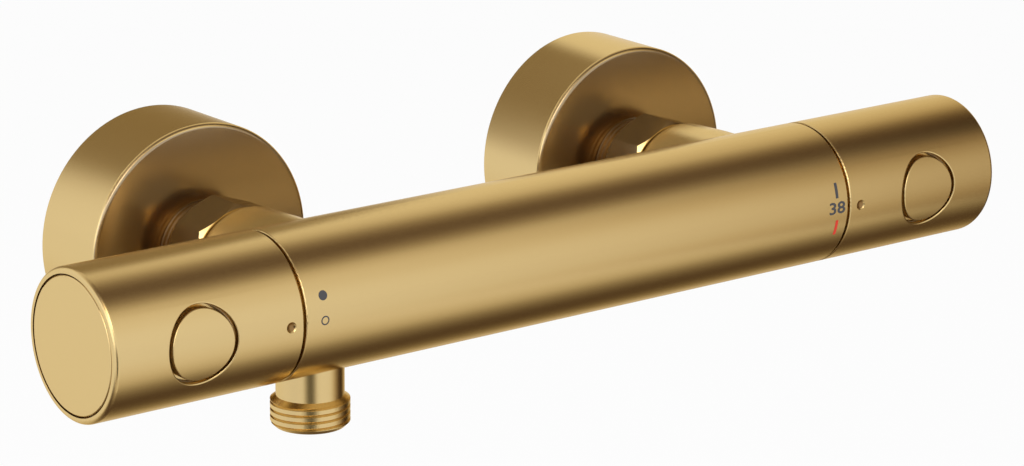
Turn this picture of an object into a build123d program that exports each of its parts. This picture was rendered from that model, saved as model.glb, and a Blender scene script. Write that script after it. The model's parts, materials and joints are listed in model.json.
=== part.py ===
from build123d import *
import os
from math import cos, pi, radians, sin

# Shower mixer with a temperature regulator, for two wall connections.
# X runs along the bar: the flow handle is at -X and the temperature handle at +X, seen from the room.
# The finished wall is the plane Y = 0, the room is at -Y, and Z points up.
# The origin is on the wall, midway between the two wall threads. All sizes are in millimetres.

os.makedirs("parts", exist_ok=True)

# How far a cut or a joined piece runs past the surface that it meets
PAST = 1.0

# Wall connections
INLET_CENTRES = 150.0
ECCENTRICITY = 7.5
WALL_THREAD_R = 10.4775
WALL_THREAD_LENGTH = 18.0
UNION_THREAD_R = 13.22
UNION_REACH = 38.0
UNION_BODY_START = 3.0
UNION_BODY_END = 13.0
UNION_BORE_R = 8.0
UNION_WALL = 2.0
THREAD_CHAMFER = 1.1
THREAD_RELIEF = 1.3
THREAD_RELIEF_WIDTH = 1.6
WALL_BORE_R = 7.0

# Escutcheons
ESCUTCHEON_R = 34.3
ESCUTCHEON_DEPTH = 25.2
ESCUTCHEON_WALL = 1.2
ESCUTCHEON_EDGE = 1.3
ESCUTCHEON_PLAY = 0.28

# Union nuts, washers and spigots
NUT_SIDES = 8
NUT_ACROSS_FLATS = 31.0
NUT_TURN = 4.5
NUT_CHAMFER = 1.2
NUT_GRIP = 6.5
NUT_SHOULDER = 2.5
THREAD_PLAY = 0.08
WASHER_THICKNESS = 1.5
WASHER_R = 12.9
WASHER_HOLE_R = 8.3
STRAINER_THICKNESS = 0.5
STRAINER_HOLE_R = 1.9
STRAINER_RING_R = 5.0
STRAINER_HOLES = 6
SPIGOT_R = 10.5
SPIGOT_PLAY = 0.25
SPIGOT_LIP = 0.9
RING_WIDTH = 1.5
RING_GROOVE = 0.8
RING_PROUD = 1.4
SMALL_GAP = 0.1

# Bar
BAR_R = 20.0
BAR_WALL = 2.5
WALL_TO_AXIS = 79.0
EDGE = 0.35
NECK_GAP = 0.3
NECK_FRONT_R = 15.0
NECK_SHOULDER_R = 16.5
NECK_SHOULDER = 3.6
NECK_ROOT_R = 17.0
NECK_ROOT = 15.2
NECK_TO_END = 0.8
REGISTER_LENGTH = 2.5
REGISTER_PLAY = 0.3

# Water ways in the bar
CHANNEL_WIDTH = 4.0
CHANNEL_ARC = 76.0
CHANNEL_PAST_INLET = 6.0
HOT_CHANNEL_PAST_BOTTOM = 18.5
PARTITION = 1.7
MIXED_BORE_R = 6.0
INLET_BORE_R = 7.0
INLET_BORE_SINK = 0.5
CHECK_SEAT_R = 8.0
CHECK_DEPTH = 13.2

# Temperature cartridge
CARTRIDGE_R = 14.8
CARTRIDGE_PLAY = 0.2
CARTRIDGE_DEPTH = 51.5
CARTRIDGE_MOUTH = 6.5
CARTRIDGE_STEP = 1.2
CARTRIDGE_WAIST_R = 12.9
CARTRIDGE_FLANGE = 2.0
MIXED_WALL = 2.0
COLLAR_COVER = 5.5
ADJUSTER_ROOM = 2.5
COLD_SEAT_LIP = 1.0
SHUTTLE_R = 12.0
SHUTTLE_WALL = 1.3
SHUTTLE_LENGTH = 10.0
HOT_GAP = 1.3
COLD_GAP = 0.7
HOT_SEAT_R = 10.4
ADJUSTER_R = 9.0
ADJUSTER_LENGTH = 14.0
ADJUSTER_CUP = 6.0
ADJUSTER_KEY = 1.2
ADJUSTER_KEY_WIDTH = 2.4
SLIDE_PLAY = 0.08
SPINDLE_THREAD_R = 4.9
SPINDLE_R = 5.0
SPINDLE_PLAY = 0.05
SPINDLE_TIP = 1.5
CUP_WALL = 1.5
PISTON_CAP_LIP = 0.8
PISTON_CAP_RIM = 1.8
PISTON_SEAT = 1.6
PISTON_SLEEVE = 2.0
PISTON_SLEEVE_WALL = 1.3
COLLAR_R = 7.0
COLLAR_LENGTH = 2.2
WAX_R = 4.6
WAX_NECK_R = 3.2
WAX_PISTON_R = 1.7
WAX_EDGE = 0.8
WAX_FLANGE = 1.6
WAX_FLANGE_WIDTH = 2.0
WAX_END_ROOM = 2.0
WAX_NECK_END = 4.2
WAX_TAPER = 0.8
SHUTTLE_ARM = 2.2
SHUTTLE_ARM_WIDTH = 3.0
SHUTTLE_ARMS = 4
SHUTTLE_HUB = 2.0
SEAL_SECTION = 1.5
SEAL_WIDTH = 1.9
SEAL_SQUEEZE = 0.03
SEAL_LAND = 1.0
SEAL_IN = 2.6
SEAL_ON_SHUTTLE = 4.0
SEAL_PAST_COLLAR = 1.4
PORTS = 6
PORT_ARC = 40.0
HOT_PORT = 1.8
COLD_PORT = 2.0
NOTCHES = 4
NOTCH_WIDTH = 3.2
NOTCH_DEPTH = 2.5
KEYS = 4

# Flow headpart
HEADPART_MOUTH = 7.5
HEADPART_STEP = 0.7
HEADPART_NOSE_R = 9.0
HEADPART_NOSE_LENGTH = 10.0
HEADPART_DEPTH = 30.0
NOSE_ROOM = 1.5
SHAFT_BLOCK = 6.5
HEADPART_SEAL = 2.7
HEADPART_FOOT = 1.7
WINDOW_CLEAR = 0.5
WINDOW_DEPTH = 3.0
WINDOWS = 4
WINDOW_ARC = 60.0
HEADPART_PLAY = 0.15
HEADPART_HEX = 21.0
HEADPART_HEX_LENGTH = 2.6
DISC_THICKNESS = 3.0
DISC_R = 7.5
DISC_PORT_R = 6.0
DISC_PORT_START_R = 1.2
DISC_PORT_ARC = 160.0
CARRIER_LENGTH = 3.7

# Spindle ends and stop rings, the same in both handles
NECK_OUT_R = 9.0
NECK_END = 7.5
SPLINE_R = 4.0
SPLINE_TOOTH = 0.6
SPLINE_TEETH = 10
SPLINE_LENGTH = 10.7
SPLINE_PLAY = 0.05
STOP_RING_R = 14.2
STOP_RING_WIDTH = 4.0
STOP_LUG = 2.1
STOP_LUG_ARC = 14.0
LUG_TURN = -90.0
STOP_PLAY_ARC = 1.0
FLOW_TURN = 180.0
COLD_TURN = 190.0
HOT_TURN = 80.0

# Handles
HANDLE_LENGTH = 56.2
HANDLE_EDGE = 1.2
JOINT_GAP = 0.8
SLEEVE_WALL = 1.75
CAP_GROOVE = 0.4
CAP_THICKNESS = 2.5
CAP_LEG_LENGTH = 6.0
CAP_LEG_ARC = 24.0
POINTER_OUT = 3.9
POINTER_R = 1.5
POINTER_DEPTH = 0.7
CARRIER_WALL = 1.7
CARRIER_PLAY = 0.05
HUB_GAP = 1.0
LUG_SINK = 0.5
CAP_LEGS = 3
BARB_TAPER = 20.0
WEB_THICKNESS = 3.0
HUB_R = 7.2

# Push buttons
BUTTON_OUT = 30.2
BUTTON_R = 9.3
BUTTON_GAP = 0.95
BUTTON_EDGE = 0.3
BUTTON_FLANGE_R = 9.9
BUTTON_FLANGE = 2.0
BUTTON_DEPTH = 7.5
BUTTON_TOP = 3.5
BUTTON_TRAVEL = 2.2
BUTTON_GUIDE_PLAY = 0.1
BUTTON_GUIDE_WALL = 1.7
BUTTON_STEM_R = 2.5
BUTTON_BARB_R = 3.1
BUTTON_FLOOR = 2.0
BUTTON_ROOM = 1.8

# Screws and springs
SCREW_R = 2.0
SCREW_HEAD_R = 3.6
SCREW_HEAD = 2.6
SCREW_SOCKET = 3.0
SCREW_GRIP = 7.0
SCREW_ROOM = 2.0
CHECK_SPRING_WIRE = 0.5
BUTTON_SPRING_WIRE = 0.6
CARTRIDGE_SPRING_WIRE = 1.2
CHECK_SPRING_TURNS = 4
BUTTON_SPRING_TURNS = 5
OVERTRAVEL_SPRING_TURNS = 2.5
RETURN_SPRING_TURNS = 5
BUTTON_SPRING_ROOM = 1.2

# Inlet check valves
CHECK_PLAY = 0.1
CHECK_WALL = 1.0
CHECK_LENGTH = 12.0
CHECK_RING = 2.0
CHECK_PORT_R = 4.8
POPPET_R = 5.6
POPPET_THICKNESS = 1.8
POPPET_STEM_R = 1.0
CHECK_HUB_R = 1.9
CHECK_LEGS = 3

# Outlet
OUTLET_FROM_END = 15.0
OUTLET_NECK_R = 9.0
OUTLET_THREAD_R = 10.4775
OUTLET_THREAD_TOP = 26.3
OUTLET_END = 34.5
OUTLET_SOCKET = 4.5
OUTLET_SHANK_R = 7.5
OUTLET_SHANK = 3.6
OUTLET_BORE_R = 6.0
OUTLET_PLAY = 0.05

# Worked out from the sizes above: distances from the wall
AXIS_Z = ECCENTRICITY
INLET_X = INLET_CENTRES / 2
BAR_HALF = INLET_X + NECK_ROOT_R + NECK_TO_END
OUTLET_X = BAR_HALF - OUTLET_FROM_END
spigot_end = UNION_REACH + WASHER_THICKNESS
ring_start = spigot_end + SPIGOT_LIP
ring_end = ring_start + RING_WIDTH
shoulder_start = ring_end + SMALL_GAP
nut_back = UNION_REACH - NUT_GRIP
nut_front = shoulder_start + NUT_SHOULDER
neck_start = nut_front + NECK_GAP

# Worked out: radii of the water ways
channel_in_r = BAR_R - BAR_WALL - CHANNEL_WIDTH
headpart_bore_r = channel_in_r - PARTITION
headpart_mouth_r = headpart_bore_r + HEADPART_STEP
cartridge_bore_r = CARTRIDGE_R + CARTRIDGE_PLAY
cartridge_mouth_r = cartridge_bore_r + CARTRIDGE_STEP
seal_floor_r = cartridge_bore_r - SEAL_SECTION
sleeve_bore_r = BAR_R - SLEEVE_WALL
register_r = sleeve_bore_r - REGISTER_PLAY

# Worked out: distances outwards from the middle of the bar
cartridge_face = BAR_HALF - CARTRIDGE_MOUTH
cartridge_bottom = cartridge_face - CARTRIDGE_DEPTH
headpart_face = BAR_HALF - HEADPART_MOUTH
headpart_bottom = headpart_face - HEADPART_DEPTH
register_end = BAR_HALF + REGISTER_LENGTH
neck_end = BAR_HALF + NECK_END
spline_start = neck_end + NECK_GAP
spline_end = spline_start + SPLINE_LENGTH
sleeve_start = BAR_HALF + JOINT_GAP
sleeve_end = sleeve_start + HANDLE_LENGTH
cap_seat = sleeve_end - CAP_THICKNESS
button_x = sleeve_start + BUTTON_OUT
web_start = spline_end + NECK_GAP
web_end = web_start + WEB_THICKNESS
stop_ring_start = register_end + NECK_GAP
stop_ring_end = stop_ring_start + STOP_RING_WIDTH

BAR_CENTRE = (0, -WALL_TO_AXIS, AXIS_Z)
BAR_AXIS = Axis(BAR_CENTRE, (1, 0, 0))
BAR_SECTION = Plane(origin=BAR_CENTRE, x_dir=(0, 0, 1), z_dir=(1, 0, 0))
OUTLET_PLANE = Plane(origin=(-OUTLET_X, -WALL_TO_AXIS, AXIS_Z), x_dir=(0, 0, -1), z_dir=(0, -1, 0))
OUTLET_AXIS = Axis(OUTLET_PLANE.origin, (0, 0, -1))


def bar_plane(side, turn=0):
    """Plane through the bar's axis: x runs outwards from the middle, y is the radius.

    The radius points up at turn 0, to the room at 90 and to the wall at -90.
    """
    outwards = Vector(side, 0, 0)
    radius = Vector(0, -sin(radians(turn)), cos(radians(turn)))
    return Plane(origin=BAR_CENTRE, x_dir=outwards, z_dir=outwards.cross(radius))


def across(side, out):
    """Plane across the bar at a distance outwards from the middle, facing outwards, x up."""
    return Plane(origin=(side * out, -WALL_TO_AXIS, AXIS_Z), x_dir=(0, 0, 1), z_dir=(side, 0, 0))


def facing_room(side, out, depth):
    """Plane that faces the room, in front of the bar's axis by depth."""
    return Plane(origin=(side * out, -WALL_TO_AXIS - depth, AXIS_Z), x_dir=(1, 0, 0), z_dir=(0, -1, 0))


def inlet_plane(side):
    """Plane through an inlet's axis: x is the distance from the wall, y the radius."""
    return Plane(origin=(side * INLET_X, 0, AXIS_Z), x_dir=(0, -1, 0), z_dir=(-1, 0, 0))


def inlet_axis(side):
    return Axis((side * INLET_X, 0, AXIS_Z), (0, -1, 0))


def from_wall(side, distance):
    """Plane across an inlet at a distance from the wall, facing the room."""
    return Plane(origin=(side * INLET_X, -distance, AXIS_Z), x_dir=(1, 0, 0), z_dir=(0, -1, 0))


def section(plane, *points):
    """Half section of a turned piece, as a face on its plane: (distance, radius) points."""
    with BuildSketch(plane) as half:
        with BuildLine():
            Polyline(*points, close=True)
        make_face()
    return half.sketch


def band(plane, start, end, inner, outer):
    """Half section of a plain ring."""
    return section(plane, (start, inner), (start, outer), (end, outer), (end, inner))


def coil(plane, length, mean_r, wire, turns):
    """Helical spring that stands on a plane and is length long over its wire."""
    with BuildPart() as spring:
        foot = plane.offset(wire / 2)
        with BuildLine() as path:
            Helix((length - wire) / turns, length - wire, mean_r, center=foot.origin, direction=foot.z_dir)
        with BuildSketch(Plane(origin=path.line @ 0, z_dir=path.line % 0)):
            RegularPolygon(radius=wire / 2, side_count=6)
        sweep(path=path.line, is_frenet=True)
    return spring.part


def spline(play=0):
    """Outline of the splined end of a spindle, drawn in the current sketch."""
    Circle(SPLINE_R + play)
    with PolarLocations(SPLINE_R, SPLINE_TEETH):
        Rectangle(2 * (SPLINE_TOOTH + play), SPLINE_TOOTH + 2 * play)


channel_start = -INLET_X - CHANNEL_PAST_INLET
channel_end = cartridge_bottom + HOT_CHANNEL_PAST_BOTTOM
channel_middle = CenterArc((0, 0), channel_in_r + CHANNEL_WIDTH / 2, -CHANNEL_ARC / 2, CHANNEL_ARC)

# Mixer body: one brass casting. The round bar carries the two inlet necks at the back, hot water runs
# along a curved channel behind the mixed-water bore, and each end is bored for its insert.
with BuildPart() as mixer_body:
    with BuildSketch(BAR_SECTION):
        Circle(BAR_R)
    extrude(amount=BAR_HALF, both=True)
    fillet(mixer_body.edges().filter_by(GeomType.CIRCLE), radius=EDGE)
    with BuildSketch(BAR_SECTION):
        Circle(register_r)
    extrude(amount=register_end, both=True)
    for side in (-1, 1):
        with BuildSketch(inlet_plane(side)):
            with BuildLine():
                Polyline(
                    (WALL_TO_AXIS, 0),
                    (spigot_end, 0),
                    (spigot_end, SPIGOT_R),
                    (neck_start, SPIGOT_R),
                    (neck_start, NECK_FRONT_R),
                )
                shoulder = TangentArc(
                    (neck_start, NECK_FRONT_R),
                    (neck_start + NECK_SHOULDER, NECK_SHOULDER_R),
                    tangent=(1, 1),
                )
                Polyline(
                    shoulder @ 1,
                    (neck_start + NECK_ROOT, NECK_ROOT_R),
                    (WALL_TO_AXIS, NECK_ROOT_R),
                    (WALL_TO_AXIS, 0),
                )
            make_face()
        revolve(axis=inlet_axis(side))
        revolve(
            band(inlet_plane(side), ring_start, ring_end, SPIGOT_R - RING_GROOVE, SPIGOT_R + PAST),
            axis=inlet_axis(side),
            mode=Mode.SUBTRACT,
        )
        with BuildSketch(from_wall(side, spigot_end)):
            Circle(CHECK_SEAT_R)
        extrude(amount=CHECK_DEPTH, mode=Mode.SUBTRACT)
    # Hot inlet, down to the floor of the curved channel behind the bore
    with BuildSketch(from_wall(-1, spigot_end)):
        Circle(INLET_BORE_R)
    extrude(amount=WALL_TO_AXIS - spigot_end - channel_in_r - INLET_BORE_SINK, mode=Mode.SUBTRACT)
    # Cold inlet, straight into the cartridge's chamber
    with BuildSketch(from_wall(1, spigot_end)):
        Circle(INLET_BORE_R)
    extrude(amount=WALL_TO_AXIS - spigot_end - cartridge_bore_r / 2, mode=Mode.SUBTRACT)
    # Curved hot channel, from the hot inlet to the cartridge's inner ports
    with BuildSketch(Plane(origin=(channel_start, -WALL_TO_AXIS, AXIS_Z), x_dir=(0, 1, 0), z_dir=(1, 0, 0))):
        SlotArc(channel_middle, CHANNEL_WIDTH)
    extrude(amount=channel_end - channel_start, mode=Mode.SUBTRACT)
    # Chamber of the cartridge, at the right
    revolve(
        section(
            bar_plane(1),
            (cartridge_bottom, 0),
            (cartridge_bottom, cartridge_bore_r),
            (cartridge_face, cartridge_bore_r),
            (cartridge_face, cartridge_mouth_r),
            (register_end, cartridge_mouth_r),
            (register_end, 0),
        ),
        axis=BAR_AXIS,
        mode=Mode.SUBTRACT,
    )
    # Bore for mixed water and the headpart's chamber, at the left
    nose_end = headpart_bottom + HEADPART_NOSE_LENGTH + NOSE_ROOM
    revolve(
        section(
            bar_plane(-1),
            (-cartridge_bottom, 0),
            (-cartridge_bottom, MIXED_BORE_R),
            (headpart_bottom, MIXED_BORE_R),
            (headpart_bottom, HEADPART_NOSE_R + HEADPART_PLAY),
            (nose_end, HEADPART_NOSE_R + HEADPART_PLAY),
            (nose_end, headpart_bore_r),
            (headpart_face, headpart_bore_r),
            (headpart_face, headpart_mouth_r),
            (register_end, headpart_mouth_r),
            (register_end, 0),
        ),
        axis=BAR_AXIS,
        mode=Mode.SUBTRACT,
    )
    # Outlet, down into the headpart's chamber
    revolve(
        section(
            OUTLET_PLANE,
            (headpart_bore_r / 2, 0),
            (headpart_bore_r / 2, OUTLET_SHANK_R + OUTLET_PLAY),
            (BAR_R - OUTLET_SOCKET, OUTLET_SHANK_R + OUTLET_PLAY),
            (BAR_R - OUTLET_SOCKET, OUTLET_NECK_R + OUTLET_PLAY),
            (BAR_R + PAST, OUTLET_NECK_R + OUTLET_PLAY),
            (BAR_R + PAST, 0),
        ),
        axis=OUTLET_AXIS,
        mode=Mode.SUBTRACT,
    )
mixer_body.part.label = "mixer_body"
export_step(mixer_body.part, "parts/mixer_body.step")

# Outlet nipple: turned brass, screwed up into the bar. The neck meets the round of the bar.
with BuildPart() as outlet_nipple:
    revolve(
        section(
            OUTLET_PLANE,
            (BAR_R - OUTLET_SOCKET - OUTLET_SHANK, OUTLET_BORE_R),
            (BAR_R - OUTLET_SOCKET - OUTLET_SHANK, OUTLET_SHANK_R),
            (BAR_R - OUTLET_SOCKET, OUTLET_SHANK_R),
            (BAR_R - OUTLET_SOCKET, OUTLET_NECK_R),
            (OUTLET_THREAD_TOP, OUTLET_NECK_R),
            (OUTLET_THREAD_TOP + THREAD_CHAMFER, OUTLET_THREAD_R),
            (OUTLET_END - THREAD_CHAMFER, OUTLET_THREAD_R),
            (OUTLET_END, OUTLET_THREAD_R - THREAD_CHAMFER),
            (OUTLET_END, OUTLET_BORE_R),
        ),
        axis=OUTLET_AXIS,
    )
outlet_nipple.part.label = "outlet_nipple"
export_step(outlet_nipple.part, "parts/outlet_nipple.step")

for side, water in ((-1, "hot"), (1, "cold")):
    # Eccentric union: its wall thread stands lower than the bar's axis by the eccentricity
    wall_end = Plane(origin=(side * INLET_X, WALL_THREAD_LENGTH, 0), x_dir=(1, 0, 0), z_dir=(0, -1, 0))
    body_start = wall_end.offset(WALL_THREAD_LENGTH + UNION_BODY_START)
    with BuildPart() as wall_union:
        with BuildSketch(wall_end):
            Circle(WALL_THREAD_R)
        extrude(amount=WALL_THREAD_LENGTH + UNION_BODY_START)
        chamfer(wall_union.edges().sort_by(Axis.Y)[-1], length=THREAD_CHAMFER)
        with BuildSketch(body_start):
            Circle(WALL_THREAD_R + PAST)
            Circle(WALL_THREAD_R - THREAD_RELIEF, mode=Mode.SUBTRACT)
        extrude(amount=-THREAD_RELIEF_WIDTH, mode=Mode.SUBTRACT)
        with BuildSketch(body_start):
            with BuildLine():
                CenterArc((0, 0), WALL_THREAD_R, 180, 180)
                CenterArc((0, ECCENTRICITY), UNION_THREAD_R, 0, 180)
                Line((WALL_THREAD_R, 0), (UNION_THREAD_R, ECCENTRICITY))
                Line((-WALL_THREAD_R, 0), (-UNION_THREAD_R, ECCENTRICITY))
            make_face()
        extrude(amount=UNION_BODY_END - UNION_BODY_START)
        with BuildSketch(from_wall(side, UNION_BODY_END)):
            Circle(UNION_THREAD_R)
        extrude(amount=UNION_REACH - UNION_BODY_END)
        with BuildSketch(wall_end):
            Circle(WALL_BORE_R)
        extrude(amount=WALL_THREAD_LENGTH + UNION_BODY_END - UNION_WALL, mode=Mode.SUBTRACT)
        with BuildSketch(from_wall(side, UNION_BODY_START + UNION_WALL)):
            Circle(UNION_BORE_R)
        extrude(amount=UNION_REACH, mode=Mode.SUBTRACT)
    wall_union.part.label = f"{water}_union"
    export_step(wall_union.part, f"parts/{water}_union.step")

    # Escutcheon: a deep spun cup over the union, open to the wall
    with BuildPart() as escutcheon:
        with BuildSketch(from_wall(side, 0)):
            Circle(ESCUTCHEON_R)
        extrude(amount=ESCUTCHEON_DEPTH)
        fillet(escutcheon.edges().sort_by(Axis.Y)[0], radius=ESCUTCHEON_EDGE)
        offset(amount=-ESCUTCHEON_WALL, openings=escutcheon.faces().sort_by(Axis.Y)[-1])
        with BuildSketch(from_wall(side, 0)):
            Circle(UNION_THREAD_R + ESCUTCHEON_PLAY)
        extrude(amount=ESCUTCHEON_DEPTH, mode=Mode.SUBTRACT)
    escutcheon.part.label = f"{water}_escutcheon"
    export_step(escutcheon.part, f"parts/{water}_escutcheon.step")

    # Union nut: eight-sided, turned down at both ends, its inner shoulder pulls on the retaining ring
    nut_corner_r = NUT_ACROSS_FLATS / 2 / cos(pi / NUT_SIDES)
    with BuildPart() as union_nut:
        with BuildSketch(from_wall(side, nut_back)):
            RegularPolygon(NUT_ACROSS_FLATS / 2, NUT_SIDES, major_radius=False, rotation=NUT_TURN)
        extrude(amount=nut_front - nut_back)
        revolve(
            section(
                inlet_plane(side),
                (nut_back, 0),
                (nut_back, nut_corner_r - NUT_CHAMFER),
                (nut_back + NUT_CHAMFER, nut_corner_r),
                (nut_front - NUT_CHAMFER, nut_corner_r),
                (nut_front, nut_corner_r - NUT_CHAMFER),
                (nut_front, 0),
            ),
            axis=inlet_axis(side),
            mode=Mode.INTERSECT,
        )
        with BuildSketch(from_wall(side, nut_back)):
            Circle(UNION_THREAD_R + THREAD_PLAY)
        extrude(amount=shoulder_start - nut_back, mode=Mode.SUBTRACT)
        with BuildSketch(from_wall(side, nut_back)):
            Circle(SPIGOT_R + SPIGOT_PLAY)
        extrude(amount=nut_front - nut_back, mode=Mode.SUBTRACT)
    union_nut.part.label = f"{water}_union_nut"
    export_step(union_nut.part, f"parts/{water}_union_nut.step")

    # Check valve: a moulded housing with a ring seat at the wall side and a spider for the stem
    valve_start = spigot_end + SMALL_GAP
    valve_end = valve_start + CHECK_LENGTH
    valve_r = CHECK_SEAT_R - CHECK_PLAY
    seat_end = valve_start + CHECK_RING
    spider_start = valve_end - CHECK_RING
    with BuildPart() as check_housing:
        revolve(
            section(
                inlet_plane(side),
                (valve_start, CHECK_PORT_R),
                (valve_start, valve_r),
                (valve_end, valve_r),
                (valve_end, valve_r - CHECK_WALL),
                (seat_end, valve_r - CHECK_WALL),
                (seat_end, CHECK_PORT_R),
            ),
            axis=inlet_axis(side),
        )
        with BuildSketch(from_wall(side, spider_start)):
            Circle(CHECK_HUB_R)
            with PolarLocations(valve_r / 2, CHECK_LEGS):
                Rectangle(valve_r - CHECK_WALL, CHECK_WALL)
            Circle(POPPET_STEM_R + SPINDLE_PLAY, mode=Mode.SUBTRACT)
        extrude(amount=CHECK_RING)
    check_housing.part.label = f"{water}_check_housing"
    export_step(check_housing.part, f"parts/{water}_check_housing.step")

    # Its poppet rests on the seat and opens into the bar
    poppet_start = seat_end + SMALL_GAP
    poppet_back = poppet_start + POPPET_THICKNESS
    with BuildPart() as check_poppet:
        revolve(
            section(
                inlet_plane(side),
                (poppet_start, 0),
                (poppet_start, POPPET_R),
                (poppet_start + POPPET_THICKNESS / 2, POPPET_R),
                (poppet_back, POPPET_STEM_R + CHECK_SPRING_WIRE),
                (poppet_back, POPPET_STEM_R),
                (valve_end + CHECK_WALL, POPPET_STEM_R),
                (valve_end + CHECK_WALL, 0),
            ),
            axis=inlet_axis(side),
        )
    check_poppet.part.label = f"{water}_check_poppet"
    export_step(check_poppet.part, f"parts/{water}_check_poppet.step")

    check_spring = coil(
        from_wall(side, poppet_back + SMALL_GAP),
        spider_start - poppet_back - 2 * SMALL_GAP,
        POPPET_STEM_R + 2 * CHECK_SPRING_WIRE + SMALL_GAP,
        CHECK_SPRING_WIRE,
        CHECK_SPRING_TURNS,
    )
    check_spring.label = f"{water}_check_spring"
    export_step(check_spring, f"parts/{water}_check_spring.step")

# Retaining rings, washers and strainers: one of each at either inlet
with BuildPart() as retaining_rings:
    for side in (-1, 1):
        revolve(
            band(
                inlet_plane(side),
                ring_start + SMALL_GAP / 2,
                ring_end - SMALL_GAP / 2,
                SPIGOT_R - RING_GROOVE + SMALL_GAP,
                SPIGOT_R + RING_PROUD,
            ),
            axis=inlet_axis(side),
        )
retaining_rings.part.label = "retaining_rings"
export_step(retaining_rings.part, "parts/retaining_rings.step")

with BuildPart() as inlet_washers:
    for side in (-1, 1):
        with BuildSketch(from_wall(side, UNION_REACH)):
            Circle(WASHER_R)
            Circle(WASHER_HOLE_R, mode=Mode.SUBTRACT)
        extrude(amount=WASHER_THICKNESS)
inlet_washers.part.label = "inlet_washers"
export_step(inlet_washers.part, "parts/inlet_washers.step")

with BuildPart() as strainers:
    for side in (-1, 1):
        with BuildSketch(from_wall(side, UNION_REACH + (WASHER_THICKNESS - STRAINER_THICKNESS) / 2)):
            Circle(WASHER_HOLE_R - SMALL_GAP)
            with PolarLocations(STRAINER_RING_R, STRAINER_HOLES):
                Circle(STRAINER_HOLE_R, mode=Mode.SUBTRACT)
            Circle(STRAINER_HOLE_R, mode=Mode.SUBTRACT)
        extrude(amount=STRAINER_THICKNESS)
strainers.part.label = "strainers"
export_step(strainers.part, "parts/strainers.step")

# Temperature cartridge, right end. Distances outwards from the middle, from the flange inwards.
housing_start = cartridge_bottom + NECK_GAP
collar_end = cartridge_face - COLLAR_COVER
collar_start = collar_end - COLLAR_LENGTH
adjuster_end = collar_start - ADJUSTER_ROOM
adjuster_start = adjuster_end - ADJUSTER_LENGTH
cold_seat = adjuster_start - COLD_SEAT_LIP
shuttle_end = cold_seat - COLD_GAP
shuttle_start = shuttle_end - SHUTTLE_LENGTH
hot_seat = shuttle_start - HOT_GAP
mixed_end = housing_start + MIXED_WALL
outer_seals = (housing_start + SEAL_IN, shuttle_start + SEAL_ON_SHUTTLE, collar_end + SEAL_PAST_COLLAR)

with BuildPart() as cartridge_housing:
    revolve(
        section(
            bar_plane(1),
            (housing_start, MIXED_BORE_R),
            (housing_start, CARTRIDGE_R),
            (cartridge_face, CARTRIDGE_R),
            (cartridge_face, cartridge_mouth_r - SMALL_GAP),
            (cartridge_face + CARTRIDGE_FLANGE, cartridge_mouth_r - SMALL_GAP),
            (cartridge_face + CARTRIDGE_FLANGE, NECK_OUT_R),
            (neck_end, NECK_OUT_R),
            (neck_end, SPINDLE_R + SPINDLE_PLAY),
            (collar_end, SPINDLE_R + SPINDLE_PLAY),
            (collar_end, ADJUSTER_R + SLIDE_PLAY),
            (cold_seat, ADJUSTER_R + SLIDE_PLAY),
            (cold_seat, SHUTTLE_R + SLIDE_PLAY),
            (hot_seat, SHUTTLE_R + SLIDE_PLAY),
            (hot_seat, HOT_SEAT_R),
            (mixed_end, HOT_SEAT_R),
            (mixed_end, MIXED_BORE_R),
        ),
        axis=BAR_AXIS,
    )
    # Guide slots for the adjuster's keys
    with BuildSketch(across(1, cold_seat)):
        with PolarLocations(ADJUSTER_R, KEYS):
            Rectangle(2 * (ADJUSTER_KEY + SLIDE_PLAY), ADJUSTER_KEY_WIDTH + 2 * SLIDE_PLAY)
        Circle(ADJUSTER_R / 2, mode=Mode.SUBTRACT)
    extrude(amount=collar_start - cold_seat, mode=Mode.SUBTRACT)
    # Waists for hot and cold water between the seals, and a groove for each seal
    for start, end in (
        (outer_seals[0] + SEAL_WIDTH + SEAL_LAND, outer_seals[1] - SEAL_LAND),
        (outer_seals[1] + SEAL_WIDTH + SEAL_LAND, outer_seals[2] - SEAL_LAND),
    ):
        revolve(
            band(bar_plane(1), start, end, CARTRIDGE_WAIST_R, CARTRIDGE_R + PAST),
            axis=BAR_AXIS,
            mode=Mode.SUBTRACT,
        )
    for start in outer_seals:
        revolve(
            band(bar_plane(1), start, start + SEAL_WIDTH, seal_floor_r, CARTRIDGE_R + PAST),
            axis=BAR_AXIS,
            mode=Mode.SUBTRACT,
        )
    # Ports: hot at the shuttle's inner edge, cold at its outer edge
    for start, end in ((hot_seat, shuttle_start + HOT_PORT), (shuttle_end - COLD_PORT, cold_seat)):
        for port in range(PORTS):
            revolve(
                band(bar_plane(1, port * 360 / PORTS), start, end, SHUTTLE_R - PAST, CARTRIDGE_R + PAST),
                axis=BAR_AXIS,
                revolution_arc=PORT_ARC,
                mode=Mode.SUBTRACT,
            )
cartridge_housing.part.label = "cartridge_housing"
export_step(cartridge_housing.part, "parts/cartridge_housing.step")

with BuildPart() as cartridge_seals:
    for start in outer_seals:
        revolve(
            band(
                bar_plane(1),
                start + SMALL_GAP,
                start + SEAL_WIDTH - SMALL_GAP,
                seal_floor_r + SEAL_SQUEEZE,
                cartridge_bore_r - SEAL_SQUEEZE,
            ),
            axis=BAR_AXIS,
        )
cartridge_seals.part.label = "cartridge_seals"
export_step(cartridge_seals.part, "parts/cartridge_seals.step")

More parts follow.
